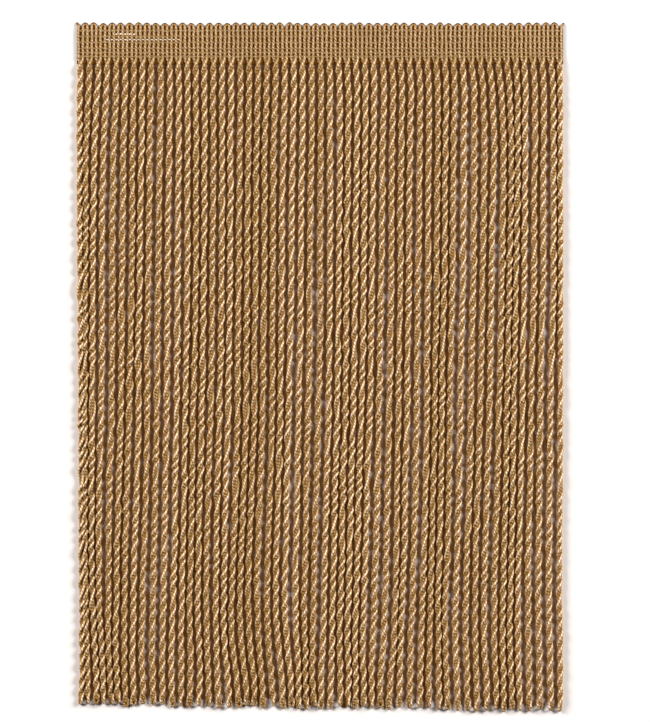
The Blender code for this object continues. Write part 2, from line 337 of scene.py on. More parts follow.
def make_yarn_material(name, colours, pitch, shine, dark_height, bright_height):
    """Dyed viscose yarn: soft gloss along the crests of its threads."""
    material = bpy.data.materials.new(name)
    material.use_nodes = True
    tree = material.node_tree
    finish = add_node(tree, "ShaderNodeGroup", node_tree=yarn_finish)
    sizes = {"Pitch": pitch, "Folds": YARN_FOLDS, "Dark Height": dark_height, "Bright Height": bright_height}
    for socket, value in {**colours, **sizes}.items():
        finish.inputs[socket].default_value = value
    bump = add_node(
        tree, "ShaderNodeBump", {"Height": finish.outputs["Height"], "Distance": YARN_RELIEF, "Strength": 0.9}
    )
    shader = tree.nodes["Principled BSDF"]
    tree.links.new(finish.outputs["Color"], shader.inputs["Base Color"])
    tree.links.new(finish.outputs["Roughness"], shader.inputs["Roughness"])
    tree.links.new(bump.outputs["Normal"], shader.inputs["Normal"])
    tree.links.new(finish.outputs["Gloss"], shader.inputs["Coat Weight"])
    shader.inputs["Specular IOR Level"].default_value = 0.15
    shader.inputs["Coat Roughness"].default_value = 0.34
    shader.inputs["Coat IOR"].default_value = shine
    tree.links.new(bump.outputs["Normal"], shader.inputs["Coat Normal"])
    return material


def curve_of(name, lines):
    """A curve with one straight-run spline for each list of points."""
    data = bpy.data.curves.new(name, "CURVE")
    data.dimensions = "3D"
    for line in lines:
        spline = data.splines.new("POLY")
        spline.points.add(len(line) - 1)
        for point, place in zip(spline.points, line):
            point.co = (*place, 1.0)
    obj = bpy.data.objects.new(name, data)
    bpy.context.scene.collection.objects.link(obj)
    return obj


def shaped(name, guide, tree, sizes):
    """The mesh that a geometry tree makes from a guide, as a plain object. The guide is used up."""
    modifier = guide.modifiers.new("shape", "NODES")
    modifier.node_group = tree
    for item in tree.interface.items_tree:
        if item.in_out == "INPUT" and item.name in sizes:
            modifier[item.identifier] = sizes[item.name]
    depsgraph = bpy.context.evaluated_depsgraph_get()
    mesh = bpy.data.meshes.new_from_object(
        guide.evaluated_get(depsgraph), preserve_all_data_layers=True, depsgraph=depsgraph
    )
    mesh.name = name
    bpy.data.objects.remove(guide)
    obj = bpy.data.objects.new(name, mesh)
    bpy.context.scene.collection.objects.link(obj)
    return obj


# The bullions: long loops of the weft yarn, each let down and twisted on itself, so that its two plies lie
# round each other and close in a small eye at the foot. They lie where the frame's cords lie.
PLY_RADIUS = 0.00045
TWIST_RADIUS = 0.00076
# CORD_SHADE gives the heights of the painted under-shade: cord yarn below them is coloured as if in shade.
CORD_SHADE = (0.0002, 0.0009)
CORD_SHINE = 1.80
FLOOR_CLEARANCE = 0.00016
TWIST_TURN = 0.0094
LEG_SPREAD = 0.000815
LEG_HEIGHT = 0.00084
ROOT_LENGTH = 0.0003
ROOT_CLIMB = 0.0036
# ROOT_SHADE is painted shade: the legs are toned darker where they leave the heading.
ROOT_SHADE = 2.6
TWIST_EASE = 0.0005
ROOT_RISE = 0.0020
EYE_LENGTH = 0.0024
EYE_SWELL = 0.00030
EYE_SHARE = 0.04
EYE_THIN = 0.02
ROOT_SWELL = 0.04
ROOT_TAPER = 0.0075
PLY_POINTS = 330
CORDS_A_PIECE = 14
SAME_LEVEL = 0.0003
GUIDE_STEP = 0.006
# The core is a flattened strand under the plies. Its dark colour is painted shade of the lens between the
# plies and of the gaps beside them.
CORE_RADIUS = 0.00090
CORE_FLAT = 0.68
CORE_POINTS = 170
CORE_SIDES = 8
CORE_SHADE_MIX = 0.30
# INNER_SHADE_MIX, INNER_SHADE and FLANK_SHADE are painted shade: the inner sides of the plies and the steep
# flanks of the tubes are coloured darker, as if in shade.
INNER_SHADE_MIX = 0.35
INNER_SHADE = 4.0
CORE_SHADE_TONE = -1.6
CORE_START = (0.0006, 0.0032)
CORE_STOP = (-0.0006, 0.0020)
CORE_SHORT = 0.35
CORE_END_THIN = 0.97
WOBBLE = 0.00026
WOBBLE_LENGTH = 0.007
WOBBLE_START = (0.004, 0.012)
TURN_PLAY = 0.045
SWINGS = (
    {"salt": 2, "waves": 2.4, "size": 1.4},
    {"salt": 4, "waves": 6.5, "size": 0.9},
    {"salt": 12, "waves": 17.0, "size": 0.65},
)
LOOSE_WAVES = 60.0
LOOSENESS = 1.2
EYE_TURN_START = 0.75
EYE_TURN_PLAY = 1.4
CORD_TONE_PLAY = 0.9
# INNER_SIDE, FLANK_SHADE and CORE_SIDE_SHADE set where that painted shade begins and ends.
INNER_SIDE = (0.62, -0.12)
FLANK_SHADE = {"from": 0.85, "to": 0.30, "most": 0.80}
CORE_SIDE_SHADE = (0.98, 0.50)
CORD_SEED = 3
ROOT_STRIP_DEPTH = 0.0021
SAME_PLACE = 1e-5
ROOT_TUCK = 0.0006


def cad_cord_lines():
    """The middle line of each cord of the frame's skirt, root first, from the corners of its underside."""
    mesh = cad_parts["skirt"].data
    corners = np.array([vertex.co for vertex in mesh.vertices], float)
    places, index = np.unique(np.round(corners, 6), axis=0, return_inverse=True)
    index = index.reshape(-1)
    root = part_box("heading")[0].y - ROOT_STRIP_DEPTH
    on_cord = (places[:, 2] < SAME_PLACE) & (places[:, 1] < root + SAME_PLACE)
    linked = {number: set() for number in np.flatnonzero(on_cord)}
    for face in mesh.polygons:
        ring = [int(index[vertex]) for vertex in face.vertices]
        for one, other in zip(ring, ring[1:] + ring[:1]):
            level = abs(places[one][1] - places[other][1]) < 1e-6 and places[one][1] > root - SAME_PLACE
            if one in linked and other in linked and not level:
                linked[one].add(other)
                linked[other].add(one)
    lines = []
    unseen = set(linked)
    while unseen:
        group = []
        front = [unseen.pop()]
        while front:
            number = front.pop()
            group.append(places[number])
            near = linked[number] & unseen
            unseen -= near
            front.extend(near)
        group.sort(key=lambda corner: -corner[1])
        line = []
        while group:
            level = [corner for corner in group if group[0][1] - corner[1] < SAME_LEVEL]
            group = group[len(level) :]
            line.append((sum(corner[0] for corner in level) / len(level), level[0][1], 0.0))
        lines.append(line)
    return sorted(lines)


def make_cord_tree():
    """Lays two plies round each guide line over a dark core, and joins them at the foot in a small eye. The
    core's darkness and the marks on the plies are painted shade.
    """
    inlets = (
        ("Guides", "Geometry"),
        ("Turn", "Float"),
        ("Ply Radius", "Float"),
        ("Eye Thin", "Float"),
        ("Root Swell", "Float"),
        ("Root Taper", "Float"),
        ("Twist Ease", "Float"),
        ("Twist Radius", "Float"),
        ("Floor Clearance", "Float"),
        ("Leg Spread", "Float"),
        ("Leg Height", "Float"),
        ("Root Length", "Float"),
        ("Root Climb", "Float"),
        ("Root Shade", "Float"),
        ("Eye Length", "Float"),
        ("Eye Swell", "Float"),
        ("Eye Share", "Float"),
        ("Ply Points", "Int"),
        ("Sides", "Int"),
        ("Guide Step", "Float"),
        ("Core Radius", "Float"),
        ("Core Flat", "Float"),
        ("Core Points", "Int"),
        ("Core Sides", "Int"),
        ("Core Shade Mix", "Float"),
        ("Inner Shade Mix", "Float"),
        ("Inner Shade", "Float"),
        ("Wobble", "Float"),
        ("Wobble Length", "Float"),
        ("Seed", "Int"),
        ("Yarn", "Material"),
    )
    tree, inlet, outer = new_group("twisted_cords", "GeometryNodeTree", inlets, (("Cords", "Geometry"),))
    given = inlet.outputs
    steps = {"Curve": given["Guides"], "Length": given["Guide Step"]}
    stepped = add_node(tree, "GeometryNodeResampleCurve", steps, mode="LENGTH").outputs["Curve"]
    smoothed = add_node(
        tree, "GeometryNodeCurveSplineType", {"Curve": stepped}, spline_type="CATMULL_ROM"
    ).outputs["Curve"]
    traced = add_node(
        tree, "GeometryNodeResampleCurve", {"Curve": smoothed, "Count": given["Core Points"]}, mode="COUNT"
    ).outputs["Curve"]
    guide = add_node(tree, "GeometryNodeCurveOfPoint").outputs["Curve Index"]
    guide_way = add_node(tree, "GeometryNodeSplineParameter")
    drift_place = add_node(
        tree,
        "ShaderNodeCombineXYZ",
        {
            "X": calc(tree, "MULTIPLY", calc(tree, "ADD", guide, given["Seed"]), 7.3),
            "Y": calc(tree, "DIVIDE", guide_way.outputs["Length"], given["Wobble Length"]),
        },
    ).outputs[0]
    drift = add_node(tree, "ShaderNodeTexNoise", {"Vector": drift_place, "Scale": 1.0, "Detail": 1.0})
    drift = calc(tree, "MULTIPLY", calc(tree, "SUBTRACT", drift.outputs["Fac"], 0.5), 4.0)
    free = ramp(tree, guide_way.outputs["Length"], *WOBBLE_START)
    drift = calc(tree, "MULTIPLY", calc(tree, "MULTIPLY", drift, given["Wobble"]), free)
    flowing = add_node(
        tree,
        "GeometryNodeSetPosition",
        {"Geometry": traced, "Offset": add_node(tree, "ShaderNodeCombineXYZ", {"X": drift}).outputs[0]},
    ).outputs[0]
    doubled = calc(tree, "MULTIPLY", given["Ply Points"], 2.0)
    pointed = add_node(
        tree, "GeometryNodeResampleCurve", {"Curve": flowing, "Count": doubled}, mode="COUNT"
    ).outputs["Curve"]

    factor = add_node(tree, "GeometryNodeSplineParameter").outputs["Factor"]
    length = add_node(tree, "GeometryNodeSplineLength").outputs["Length"]
    cord = add_node(tree, "GeometryNodeCurveOfPoint").outputs["Curve Index"]
    way = calc(tree, "MULTIPLY_ADD", factor, 2.0, -1.0)
    side = calc(tree, "SIGN", way)
    from_foot = calc(tree, "ABSOLUTE", way)

    def chance(low_end, high_end, salt):
        """A number that differs from cord to cord, between two limits."""
        seed = calc(tree, "ADD", given["Seed"], float(salt))
        feeds = {2: low_end, 3: high_end, "ID": cord, "Seed": seed}
        return add_node(tree, "FunctionNodeRandomValue", feeds, data_type="FLOAT").outputs[1]

    in_eye = add_node(tree, "ShaderNodeMapRange", {"Value": from_foot, "From Max": given["Eye Share"]})
    in_eye = in_eye.outputs["Result"]
    above = add_node(tree, "ShaderNodeMapRange", {"Value": from_foot, "From Min": given["Eye Share"]})
    above = above.outputs["Result"]
    twisted = calc(tree, "SUBTRACT", length, given["Eye Length"])
    eye_rise = calc(tree, "SUBTRACT", 1.0, calc(tree, "COSINE", calc(tree, "MULTIPLY", in_eye, math.pi / 2)))
    up = calc(tree, "MULTIPLY", eye_rise, given["Eye Length"])
    up = calc(tree, "MULTIPLY_ADD", above, twisted, up)
    down = calc(tree, "SUBTRACT", length, up)
    centre = add_node(
        tree,
        "GeometryNodeSampleCurve",
        {"Curves": flowing, "Factor": calc(tree, "DIVIDE", down, length), "Curve Index": cord},
        mode="FACTOR",
        use_all_curves=False,
    ).outputs["Position"]

    def eased(distance):
        """Distance run past the root, starting gently."""
        past = calc(tree, "MAXIMUM", calc(tree, "SUBTRACT", distance, given["Root Length"]), 0.0)
        ease = given["Twist Ease"]
        square = calc(tree, "MULTIPLY_ADD", past, past, calc(tree, "MULTIPLY", ease, ease))
        return calc(tree, "SUBTRACT", calc(tree, "SQRT", square), ease)

    run = eased(calc(tree, "SUBTRACT", twisted, calc(tree, "MULTIPLY", above, twisted)))
    whole_run = eased(twisted)
    half_turns = calc(tree, "DIVIDE", calc(tree, "MULTIPLY", whole_run, 2.0), given["Turn"])
    half_turns = calc(tree, "MULTIPLY", half_turns, chance(1.0 - TURN_PLAY, 1.0 + TURN_PLAY, 1))
    half_turns = calc(tree, "ROUND", half_turns)
    share = calc(tree, "DIVIDE", run, whole_run)
    whole_angle = calc(tree, "MULTIPLY", half_turns, math.pi)
    angle = calc(tree, "MULTIPLY", calc(tree, "SUBTRACT", share, 1.0), whole_angle)
    window = calc(tree, "MULTIPLY", calc(tree, "MULTIPLY", share, calc(tree, "SUBTRACT", 1.0, share)), 4.0)
    for kind in SWINGS:
        phase = chance(0.0, 2 * math.pi, kind["salt"])
        swing = calc(tree, "MULTIPLY_ADD", share, kind["waves"] * 2 * math.pi, phase)
        reached = calc(tree, "MULTIPLY", window, kind["size"])
        swing = calc(tree, "MULTIPLY", calc(tree, "SINE", swing), reached)
        angle = calc(tree, "ADD", angle, swing)

    root = ramp(tree, down, 0.0, given["Root Climb"])
    spread = add_node(
        tree, "ShaderNodeMix", {0: root, 2: given["Leg Spread"], 3: given["Twist Radius"]}, data_type="FLOAT"
    ).outputs[0]
    loose_place = add_node(
        tree,
        "ShaderNodeCombineXYZ",
        {"X": calc(tree, "MULTIPLY", cord, 5.7), "Y": calc(tree, "MULTIPLY", share, LOOSE_WAVES)},
    ).outputs[0]
    loose = add_node(tree, "ShaderNodeTexNoise", {"Vector": loose_place, "Scale": 1.0, "Detail": 0.0})
    loose = calc(tree, "SUBTRACT", loose.outputs["Fac"], 0.5)
    loose = calc(tree, "MULTIPLY", loose, calc(tree, "MULTIPLY", window, LOOSENESS))
    spread = calc(tree, "MULTIPLY_ADD", spread, loose, spread)
    spread = calc(tree, "MULTIPLY", spread, in_eye)
    swell = calc(tree, "SINE", calc(tree, "MULTIPLY", in_eye, math.pi))
    swell = calc(tree, "MULTIPLY", swell, given["Eye Swell"])
    swell = calc(tree, "MULTIPLY", swell, chance(0.5, 1.5, 6))
    turned_eye = chance(-EYE_TURN_PLAY, EYE_TURN_PLAY, 10)
    turned_eye = calc(tree, "MULTIPLY", ramp(tree, share, EYE_TURN_START, 1.0), turned_eye)
    angle = calc(tree, "ADD", angle, turned_eye)
    reach = calc(tree, "MULTIPLY", calc(tree, "ADD", spread, swell), side)
    across = calc(tree, "MULTIPLY", reach, calc(tree, "COSINE", angle))
    lift = calc(tree, "MULTIPLY", reach, calc(tree, "SINE", angle))
    thin = calc(tree, "MULTIPLY", ramp(tree, in_eye, 1.0, 0.35), given["Eye Thin"])
    stout = calc(tree, "MULTIPLY", calc(tree, "SUBTRACT", 1.0, thin), given["Ply Radius"])
    low_height = calc(tree, "ADD", stout, given["Floor Clearance"])
    rest_height = calc(tree, "ADD", low_height, given["Twist Radius"])
    foot = ramp(tree, up, 0.0, calc(tree, "MULTIPLY", given["Eye Length"], 2.2))
    height = add_node(
        tree, "ShaderNodeMix", {0: foot, 2: low_height, 3: rest_height}, data_type="FLOAT"
    ).outputs[0]
    height = add_node(
        tree, "ShaderNodeMix", {0: root, 2: given["Leg Height"], 3: height}, data_type="FLOAT"
    ).outputs[0]
    height = calc(tree, "MAXIMUM", height, calc(tree, "ADD", calc(tree, "ABSOLUTE", lift), low_height))
    offset = add_node(
        tree, "ShaderNodeCombineXYZ", {"X": across, "Z": calc(tree, "ADD", height, lift)}
    ).outputs[0]
    place = add_node(tree, "ShaderNodeVectorMath", {0: centre, 1: offset}, operation="ADD").outputs[0]

    # Random tone per cord, less the painted shade near the heading.
    tucked = ramp(tree, down, given["Root Taper"], 0.0)
    cord_tone_and_shade = chance(-CORD_TONE_PLAY, CORD_TONE_PLAY, 8)
    cord_tone_and_shade = calc(tree, "SUBTRACT", cord_tone_and_shade, calc(tree, "MULTIPLY", tucked, given["Root Shade"]))
    toned = add_node(
        tree,
        "GeometryNodeStoreNamedAttribute",
        {"Geometry": pointed, "Name": "tone", "Value": cord_tone_and_shade},
        data_type="FLOAT",
        domain="POINT",
    )
    round_eye = calc(tree, "MULTIPLY", in_eye, calc(tree, "MULTIPLY", given["Eye Length"], 1.3))
    run_along = calc(tree, "MULTIPLY", side, calc(tree, "MULTIPLY_ADD", above, twisted, round_eye))
    kept = add_node(
        tree,
        "GeometryNodeStoreNamedAttribute",
        {"Geometry": toned.outputs["Geometry"], "Name": "yarn_run", "Value": run_along},
        data_type="FLOAT",
        domain="POINT",
    )
    thin = calc(tree, "SUBTRACT", thin, calc(tree, "MULTIPLY", tucked, given["Root Swell"]))
    thinned = add_node(
        tree,
        "GeometryNodeStoreNamedAttribute",
        {"Geometry": kept.outputs["Geometry"], "Name": "thin", "Value": thin},
        data_type="FLOAT",
        domain="POINT",
    )
    off_centre = add_node(
        tree,
        "GeometryNodeStoreNamedAttribute",
        {
            "Geometry": thinned.outputs["Geometry"],
            "Name": "off_centre",
            "Value": add_node(tree, "ShaderNodeCombineXYZ", {"X": across, "Z": lift}).outputs[0],
        },
        data_type="FLOAT_VECTOR",
        domain="POINT",
    )
    wound = add_node(
        tree,
        "GeometryNodeStoreNamedAttribute",
        {
            "Geometry": off_centre.outputs["Geometry"],
            "Name": "wound",
            "Value": ramp(tree, down, 0.0, given["Root Taper"]),
        },
        data_type="FLOAT",
        domain="POINT",
    )
    laid = {"Geometry": wound.outputs["Geometry"], "Position": place}
    laid = add_node(tree, "GeometryNodeSetPosition", laid)
    stored_thin = add_node(
        tree, "GeometryNodeInputNamedAttribute", {"Name": "thin"}, data_type="FLOAT"
    ).outputs[0]
    stored_run = add_node(
        tree, "GeometryNodeInputNamedAttribute", {"Name": "yarn_run"}, data_type="FLOAT"
    ).outputs[0]
    tube = add_node(tree, "GeometryNodeGroup", {}, node_tree=yarn_tube)
    for socket, feed in (
        ("Path", laid.outputs["Geometry"]),
        ("Along", stored_run),
        ("Radius", given["Ply Radius"]),
        ("Pinch", stored_thin),
        ("Sides", given["Sides"]),
        ("Yarn", given["Yarn"]),
    ):
        tree.links.new(feed, tube.inputs[socket])
    tube.inputs["Unevenness"].default_value = 0.20
    stored_offset = add_node(
        tree, "GeometryNodeInputNamedAttribute", {"Name": "off_centre"}, data_type="FLOAT_VECTOR"
    ).outputs[0]
    towards = add_node(tree, "ShaderNodeVectorMath", {0: stored_offset}, operation="NORMALIZE").outputs[0]
    normal = add_node(tree, "GeometryNodeInputNormal").outputs[0]
    outwards = add_node(tree, "ShaderNodeVectorMath", {0: normal, 1: towards}, operation="DOT_PRODUCT")
    stored_wound = add_node(
        tree, "GeometryNodeInputNamedAttribute", {"Name": "wound"}, data_type="FLOAT"
    ).outputs[0]
    # Painted shade: each ply's inner side and its steep flanks are marked for the shade colour, and the inner
    # side is toned down too.
    inner = calc(tree, "MULTIPLY", ramp(tree, outwards.outputs["Value"], *INNER_SIDE), stored_wound)
    level = add_node(tree, "ShaderNodeSeparateXYZ", {0: normal}).outputs["Z"]
    flank_shade = ramp(tree, level, FLANK_SHADE["from"], FLANK_SHADE["to"], 0.0, FLANK_SHADE["most"])
    shade_mark = calc(tree, "MAXIMUM", calc(tree, "MULTIPLY", inner, given["Inner Shade Mix"]), flank_shade)
    stored_tone = add_node(
        tree, "GeometryNodeInputNamedAttribute", {"Name": "tone"}, data_type="FLOAT"
    ).outputs[0]
    shaded = add_node(
        tree,
        "GeometryNodeStoreNamedAttribute",
        {
            "Geometry": tube.outputs["Yarn"],
            "Name": "tone",
            "Value": calc(tree, "SUBTRACT", stored_tone, calc(tree, "MULTIPLY", inner, given["Inner Shade"])),
        },
        data_type="FLOAT",
        domain="POINT",
    )
    marked = add_node(
        tree,
        "GeometryNodeStoreNamedAttribute",
        {"Geometry": shaded.outputs["Geometry"], "Name": "shade_mark", "Value": shade_mark},
        data_type="FLOAT",
        domain="POINT",
    )
    # The core: a flattened strand down the middle, under the plies, toned and dulled as painted shade.
    core_length = add_node(tree, "GeometryNodeSplineLength").outputs["Length"]
    core_way = add_node(tree, "GeometryNodeSplineParameter").outputs["Length"]
    core_end = calc(tree, "SUBTRACT", core_length, calc(tree, "MULTIPLY", given["Eye Length"], CORE_SHORT))
    before_end = ramp(tree, calc(tree, "SUBTRACT", core_end, core_way), *CORE_STOP)
    in_core = calc(tree, "MULTIPLY", ramp(tree, core_way, *CORE_START), before_end)
    core_thin = calc(tree, "MULTIPLY_ADD", in_core, -CORE_END_THIN, CORE_END_THIN)
    core_toned = add_node(
        tree,
        "GeometryNodeStoreNamedAttribute",
        {"Geometry": flowing, "Name": "tone", "Value": CORE_SHADE_TONE},
        data_type="FLOAT",
        domain="POINT",
    ).outputs["Geometry"]
    core_thinned = add_node(
        tree,
        "GeometryNodeStoreNamedAttribute",
        {"Geometry": core_toned, "Name": "thin", "Value": core_thin},
        data_type="FLOAT",
        domain="POINT",
    ).outputs["Geometry"]
    past_end = add_node(
        tree, "FunctionNodeCompare", {0: core_way, 1: core_end}, data_type="FLOAT", operation="GREATER_THAN"
    ).outputs[0]
    trimmed = add_node(
        tree, "GeometryNodeDeleteGeometry", {"Geometry": core_thinned, "Selection": past_end}, domain="POINT"
    ).outputs[0]
    core_height = calc(tree, "MULTIPLY_ADD", given["Floor Clearance"], 2.0, given["Core Radius"])
    core_rise = add_node(tree, "ShaderNodeCombineXYZ", {"Z": core_height}).outputs[0]
    raised = add_node(tree, "GeometryNodeSetPosition", {"Geometry": trimmed, "Offset": core_rise}).outputs[0]
    core_tube = add_node(tree, "GeometryNodeGroup", {}, node_tree=yarn_tube)
    for socket, feed in (
        ("Path", raised),
        ("Along", add_node(tree, "GeometryNodeSplineParameter").outputs["Length"]),
        ("Radius", given["Core Radius"]),
        ("Pinch", stored_thin),
        ("Sides", given["Core Sides"]),
        ("Yarn", given["Yarn"]),
    ):
        tree.links.new(feed, core_tube.inputs[socket])
    core_tube.inputs["Unevenness"].default_value = 0.25
    # Painted shade on the core: a little all over, more on its sides.
    dull = calc(tree, "MAXIMUM", ramp(tree, level, *CORE_SIDE_SHADE), given["Core Shade Mix"])
    core_shaded = add_node(
        tree,
        "GeometryNodeStoreNamedAttribute",
        {"Geometry": core_tube.outputs["Yarn"], "Name": "shade_mark", "Value": dull},
        data_type="FLOAT",
        domain="POINT",
    )
    squash = add_node(tree, "ShaderNodeCombineXYZ", {"X": 1.0, "Y": 1.0, "Z": given["Core Flat"]}).outputs[0]
    flattened = add_node(
        tree, "GeometryNodeTransform", {"Geometry": core_shaded.outputs["Geometry"], "Scale": squash}
    )
    joined = add_node(tree, "GeometryNodeJoinGeometry")
    tree.links.new(flattened.outputs["Geometry"], joined.inputs[0])
    tree.links.new(marked.outputs["Geometry"], joined.inputs[0])
    whole = add_node(tree, "GeometryNodeRealizeInstances", {"Geometry": joined.outputs[0]})
    dyed = add_node(
        tree, "GeometryNodeSetMaterial", {"Geometry": whole.outputs["Geometry"], "Material": given["Yarn"]}
    )
    tree.links.new(dyed.outputs["Geometry"], outer.inputs["Cords"])
    return tree


cord_tree = make_cord_tree()
cord_yarn = make_yarn_material("cord_yarn", YARN_COLOURS, YARN_PITCH, CORD_SHINE, *CORD_SHADE)
heading_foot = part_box("heading")[0].y
cord_lines = []
for number, line in enumerate(cad_cord_lines()):
    root_x = line[0][0]
    foot_x, foot_y, _ = line[-1]
    above_heading_foot = [(root_x, heading_foot + ROOT_RISE, 0.0), (root_x, heading_foot - ROOT_TUCK, 0.0)]
    cord_lines.append([*above_heading_foot, *line[:-1], (foot_x, foot_y + PLY_RADIUS, 0.0)])

for start in range(0, len(cord_lines), CORDS_A_PIECE):
    part_number = start // CORDS_A_PIECE + 1
    name = f"twisted_cords_{part_number}"
    piece = shaped(
        name,
        curve_of(name + "_guides", cord_lines[start : start + CORDS_A_PIECE]),
        cord_tree,
        {
            "Turn": TWIST_TURN,
            "Ply Radius": PLY_RADIUS,
            "Eye Thin": EYE_THIN,
            "Root Swell": ROOT_SWELL,
            "Root Taper": ROOT_TAPER,
            "Twist Radius": TWIST_RADIUS,
            "Floor Clearance": FLOOR_CLEARANCE,
            "Leg Spread": LEG_SPREAD,
            "Leg Height": LEG_HEIGHT,
            "Root Length": ROOT_LENGTH,
            "Root Climb": ROOT_CLIMB,
            "Root Shade": ROOT_SHADE,
            "Twist Ease": TWIST_EASE,
            "Eye Length": EYE_LENGTH,
            "Eye Swell": EYE_SWELL,
            "Eye Share": EYE_SHARE,
            "Ply Points": PLY_POINTS,
            "Sides": YARN_SIDES,
            "Guide Step": GUIDE_STEP,
            "Core Radius": CORE_RADIUS,
            "Core Flat": CORE_FLAT,
            "Core Points": CORE_POINTS,
            "Core Sides": CORE_SIDES,
            "Core Shade Mix": CORE_SHADE_MIX,
            "Inner Shade Mix": INNER_SHADE_MIX,
            "Inner Shade": INNER_SHADE,
            "Wobble": WOBBLE,
            "Wobble Length": WOBBLE_LENGTH,
            "Seed": CORD_SEED + part_number,
            "Yarn": cord_yarn,
        },
    )
    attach(piece, "root")
    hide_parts("skirt")


# The heading: the same yarn woven to and fro as weft. It shows as upright ribs side by side, and turns over
# in a small round loop at the top of every second gap. Its cut ends are half loops.
RIB_RADIUS = 0.00049
HEADING_COLOURS = {
    "Light": (0.57, 0.35, 0.11, 1.0),
    "Blush": (0.61, 0.35, 0.16, 1.0),
    "Deep": (0.26, 0.13, 0.020, 1.0),
    "Painted Shade": (0.27, 0.10, 0.005, 1.0),
}
# HEADING_SHADE gives the heights of the painted under-shade on the heading. The drooping loop tops and the
# low ground threads fall below them and are coloured as if in shade.
HEADING_SHADE = (0.0006, 0.00130)
HEADING_SHINE = 1.85
LOOP_BACK_SHINE = 1.3
LOOP_DROOP = 0.00038
LOOP_BASE = 0.12485
LOOP_TOP_PLAY = 0.00035
LOOP_LEAN = 0.00022
LOOP_THIN = 0.14
LOOP_BACK = {"radius": 0.00034, "reach": 0.0016, "wider": 0.22, "above": 0.00050, "under": 0.00020}
# The second yarn's near-black colours are painted shade of the loop's outer rim.
LOOP_BACK_SHADE_COLOURS = {
    "Light": (0.12, 0.085, 0.045, 1.0),
    "Blush": (0.14, 0.09, 0.05, 1.0),
    "Deep": (0.07, 0.045, 0.02, 1.0),
    "Painted Shade": (0.06, 0.03, 0.01, 1.0),
}
LOOP_STEPS = 9
RIB_STEP = 0.0014
RIB_SWAY = 0.00011
RIB_SPACING = 0.00034
HEADING_SEED = 8
WARP_ROWS = {"first": 31.0, "second": 36.7, "third": 42.8, "fourth": 48.8, "fifth": 52.9, "sixth": 56.9}
WARP_PINCH = 0.13
WARP_PINCH_WIDTH = 0.00045


def row_place(row):
    """How far up the fringe a row of the picture is."""
    return look_y + (PICTURE["high"] / 2 - row) * scale


def loop_line(centre, chance, sides):
    """The middle line of one loop with its legs, or of half of one, from the left to the right."""
    high_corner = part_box("heading")[1]
    foot = row_place(WARP_ROWS["sixth"]) - RIB_RADIUS * 0.3
    edge = LOOP_BACK["radius"] + LOOP_BACK["above"]
    top = high_corner.y - edge - chance.uniform(0.0, LOOP_TOP_PLAY)
    lean = chance.uniform(-LOOP_LEAN, LOOP_LEAN)
    base = LOOP_BASE + chance.uniform(-0.0002, 0.0002)
    steps = int((base - foot) / RIB_STEP)
    up = [foot + (base - foot) * step / steps for step in range(steps)]
    left, right = [], []
    for y in up:
        sway = RIB_SWAY if foot + RIB_STEP * 1.5 < y else 0.0
        left.append((centre - LEG_SPREAD + chance.uniform(-sway, sway), y, LEG_HEIGHT))
        right.append((centre + LEG_SPREAD + chance.uniform(-sway, sway), y, LEG_HEIGHT))
    arch = []
    for step in range(LOOP_STEPS + 1):
        turn = math.pi * (1.0 - step / LOOP_STEPS)
        x = centre + LEG_SPREAD * math.cos(turn) + lean * math.sin(turn)
        droop = LOOP_DROOP * math.sin(turn) ** 2
        arch.append((x, base + (top - base) * math.sin(turn), LEG_HEIGHT - droop))
    if sides == "right":
        return [(centre, top, LEG_HEIGHT - LOOP_DROOP), *arch[LOOP_STEPS // 2 + 1 :], *reversed(right)]
    if sides == "left":
        return [*left, *arch[: LOOP_STEPS // 2 + 1], (centre, top, LEG_HEIGHT - LOOP_DROOP)]
    return [*left, *arch, *reversed(right)]


